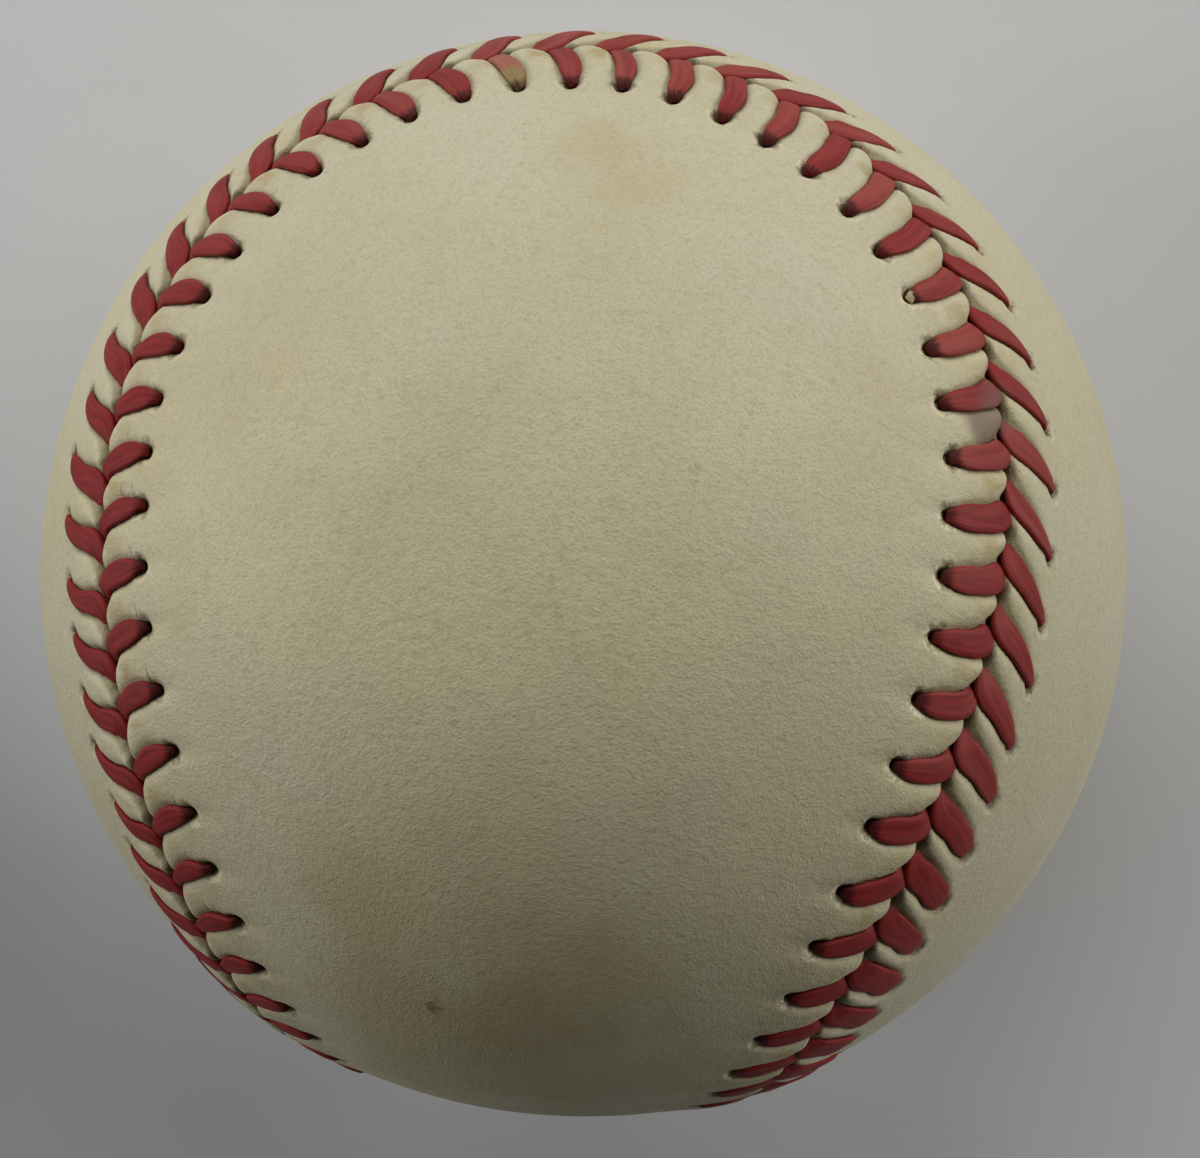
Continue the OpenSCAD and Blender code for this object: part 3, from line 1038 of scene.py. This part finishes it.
def makeWinding(name, form):
    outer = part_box(form["node"])[1].x/millimetre
    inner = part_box(form["inside"])[1].x/millimetre + 0.05
    bpy.ops.object.select_all(action="DESELECT")
    bpy.ops.mesh.primitive_ico_sphere_add(subdivisions=7, radius=1)
    ball = bpy.context.object
    ball.name = name
    rays = unit(np.array([v.co for v in ball.data.vertices]))
    axes = unit(chance.normal(0, 1, (windingBands, 3)))
    strand = (rays @ axes[0])*outer
    level = np.zeros(len(rays))
    for axis in axes[1:]:
        across = np.arcsin(np.clip(rays @ axis, -1, 1))*outer
        inBand = np.abs(across) < form["halfWidth"]*chance.uniform(0.6, 1.1)
        strand = np.where(inBand, across, strand)
        level = np.where(inBand, chance.uniform(0, 0.3), level)
    cut = 2*(strand/form["strand"] % 1) - 1
    lift = form["relief"]*(0.7*np.sqrt(1 - cut**2) + level - 1)
    spots = rays*(outer + lift)[:, None]*millimetre
    ball.data.vertices.foreach_set("co", spots.astype(np.float32).ravel())
    addPoints(ball, strand=strand/form["strand"])
    bpy.ops.mesh.primitive_ico_sphere_add(subdivisions=4, radius=inner*millimetre)
    bore = bpy.context.object
    bpy.ops.object.mode_set(mode="EDIT")
    bpy.ops.mesh.select_all(action="SELECT")
    bpy.ops.mesh.flip_normals()
    bpy.ops.object.mode_set(mode="OBJECT")
    addPoints(bore, strand=np.zeros(len(bore.data.vertices)))
    selectOnly(ball, bore)
    bpy.ops.object.join()
    bpy.ops.object.shade_smooth()
    dressPiece(ball, form["node"], makeYarn(name, form))
    print(name, "made:", len(ball.data.polygons), "faces")


def makeYarn(name, form):
    finish, tree, shader = newFinish(name + "Yarn")
    place = objectPlace(tree)
    strand = attribute(tree, "strand")
    wave = math2(tree, "PINGPONG", strand, 0.5)
    hair = noise(tree, place, 2600.0, 4.0, 0.7)
    patch = noise(tree, place, 180.0, 2.0, 0.5)
    colour = blend(tree, fade(tree, hair, 0.35, 0.65), *form["tones"])
    colour = blend(tree, fade(tree, patch, 0.4, 0.7, 0, 0.35), colour, form["tones"][0])
    shadow = fade(tree, wave, 0.16, 0.0, 0, 0.65)
    dim = tuple(0.25*c for c in form["tones"][0][:3]) + (1.0,)
    normal = bump(tree, wave, form["strand"]*millimetre*0.5, 0.6)
    normal = bump(tree, hair, form["fuzz"], 0.8, normal)
    fill(tree, shader, {"Base Color": blend(tree, shadow, colour, dim),
                        "Roughness": 0.95, "Specular IOR Level": 0.15,
                        "Sheen Weight": 0.3, "Normal": normal})
    return finish


# The moulded centre: composition cork and two rubbers, with their own finishes
centre = {
    "cork": (shade(150, 104, 62), shade(190, 146, 96), shade(72, 44, 26)),
    "black": (shade(26, 26, 27), shade(48, 47, 47)),
    "red": (shade(124, 34, 24), shade(152, 52, 38)),
}


def makeCork():
    finish, tree, shader = newFinish("compositionCork")
    place = objectPlace(tree)
    grains = addNode(tree, "TexVoronoi", {"Vector": place, "Scale": 620.0})
    tone = addNode(tree, "SeparateColor", {0: grains.outputs["Color"]}).outputs[0]
    dust = noise(tree, place, 2400.0, 3.0, 0.6)
    brown, tan, dark = centre["cork"]
    colour = blend(tree, tone, brown, tan)
    colour = blend(tree, fade(tree, grains.outputs["Distance"], 0.55, 0.85, 0, 0.8),
                   colour, dark)
    colour = blend(tree, fade(tree, dust, 0.58, 0.75, 0, 0.5), colour, dark)
    normal = bump(tree, grains.outputs["Distance"], 0.0003, -0.6)
    fill(tree, shader, {"Base Color": colour, "Roughness": 0.85,
                        "Normal": bump(tree, dust, 0.0001, 0.6, normal)})
    return finish


def makeRubber(name, tones, roughness):
    finish, tree, shader = newFinish(name)
    place = objectPlace(tree)
    bloom = noise(tree, place, 150.0, 4.0, 0.6)
    speck = noise(tree, place, 3000.0, 2.0, 0.6)
    fill(tree, shader, {
        "Base Color": blend(tree, fade(tree, bloom, 0.4, 0.75), *tones),
        "Roughness": fade(tree, bloom, 0.3, 0.7, roughness, roughness + 0.15),
        "Normal": bump(tree, speck, 0.00005, 0.6)})
    return finish


def dressNode(node, finish):
    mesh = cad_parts[node].data
    mesh.materials.clear()
    mesh.materials.append(finish)


dressNode("cork_core", makeCork())
blackRubber = makeRubber("blackRubber", centre["black"], 0.6)
redRubber = makeRubber("redRubber", centre["red"], 0.5)
for node in ("black_shell_upper", "black_shell_lower"):
    dressNode(node, blackRubber)
for node in ("shell_washer", "red_rubber_layer"):
    dressNode(node, redRubber)
for name, form in windings.items():
    makeWinding(name, form)
print("centre and windings dressed")

panels = [makePanel("coverLeather_a", "a"), makePanel("coverLeather_b", "b")]
threads = [makeThread("stitching_a", "ab"), makeThread("stitching_b", "ba")]

leather = makeLeather()
waxed = makeThreadFinish()
for panel, node in zip(panels, ("cover_panel_a", "cover_panel_b")):
    dressPiece(panel, node, leather)
for thread, node in zip(threads, ("stitch_thread_a", "stitch_thread_b")):
    dressPiece(thread, node, waxed)
print("cover and stitching dressed")

# The stage: a pale cloth-covered table seen from above, painted darker towards the
# lower left as shadow and fall-off of light, and soft light
stage = {
    "floorSize": 3.0,
    "floorTone": shade(229, 230, 230),
    "floorShade": shade(168, 169, 171),
    "shadeAlong": (0.6, 0.8, 0),          # the painted shadow deepens the other way
    "shadeFrom": (-0.025, -0.07),
    # Lamps: name, place, size and power
    "lamps": [
        ("windowLight", (-0.25, 0.80, 0.49), 0.9, 5.7),
        ("leftLight", (-0.85, -0.03, 0.27), 0.6, 2.85),
        ("rightLight", (0.83, 0.34, 0.20), 0.6, 4.0)],
    "worldLevel": 0.05,
}
bpy.ops.object.select_all(action="DESELECT")
bpy.ops.mesh.primitive_plane_add(size=stage["floorSize"],
                                 location=(0, 0, -seam["ballRadius"]*millimetre))
floor = bpy.context.object
floor.name = "tableTop"
floorFinish, tree, shader = newFinish("paleTable")
place = objectPlace(tree)
cloth = noise(tree, place, 25.0, 3.0, 0.5)
reach = addNode(tree, "VectorMath", {0: place, 1: stage["shadeAlong"]},
                operation="DOT_PRODUCT").outputs["Value"]
# Painted shadow and fall-off of light: the floor's colour darkens towards the lower
# left, with faint cloth mottling
deep = math2(tree, "ADD", fade(tree, reach, *stage["shadeFrom"]),
             fade(tree, cloth, 0.3, 0.7, -0.06, 0.06), clamp=True)
fill(tree, shader, {
    "Base Color": blend(tree, deep, stage["floorTone"], stage["floorShade"]),
    "Roughness": 0.9})
floor.data.materials.append(floorFinish)


def addLamp(name, place, size, power):
    bpy.ops.object.light_add(type="AREA", location=place)
    lamp = bpy.context.object
    lamp.name = name
    lamp.data.shape = "DISK"
    lamp.data.size = size
    lamp.data.energy = power
    lamp.rotation_euler = (-Vector(place)).to_track_quat("-Z", "Y").to_euler()


for lamp in stage["lamps"]:
    addLamp(*lamp)
world = bpy.data.worlds.new("room")
world.use_nodes = True
sky = world.node_tree.nodes["Background"].inputs
sky["Color"].default_value = (1, 1, 1, 1)
sky["Strength"].default_value = stage["worldLevel"]
bpy.context.scene.world = world

view = {
    "turn": (0.1366, -0.1094, -0.0871),   # ball frame to camera, as a rotation vector
    "distance": 0.17293,
    "lens": 74.43,                        # mm on a 36 mm wide picture
    "shift": (0.01358, -0.004),
}
turn = Vector(view["turn"])
toCamera = Matrix.Rotation(turn.length, 3, turn.normalized())
toWorld = toCamera.transposed()
bpy.ops.object.camera_add()
camera = bpy.context.object
camera.matrix_world = Matrix.Translation(toWorld @ Vector((0, 0, view["distance"]))) \
    @ toWorld.to_4x4()
camera.data.sensor_fit = "HORIZONTAL"
camera.data.sensor_width = 36
camera.data.lens = view["lens"]
camera.data.shift_x, camera.data.shift_y = view["shift"]
camera.data.clip_start = 0.01
bpy.context.scene.camera = camera
bpy.context.scene.view_settings.view_transform = "Standard"
print("stage, light and camera set")
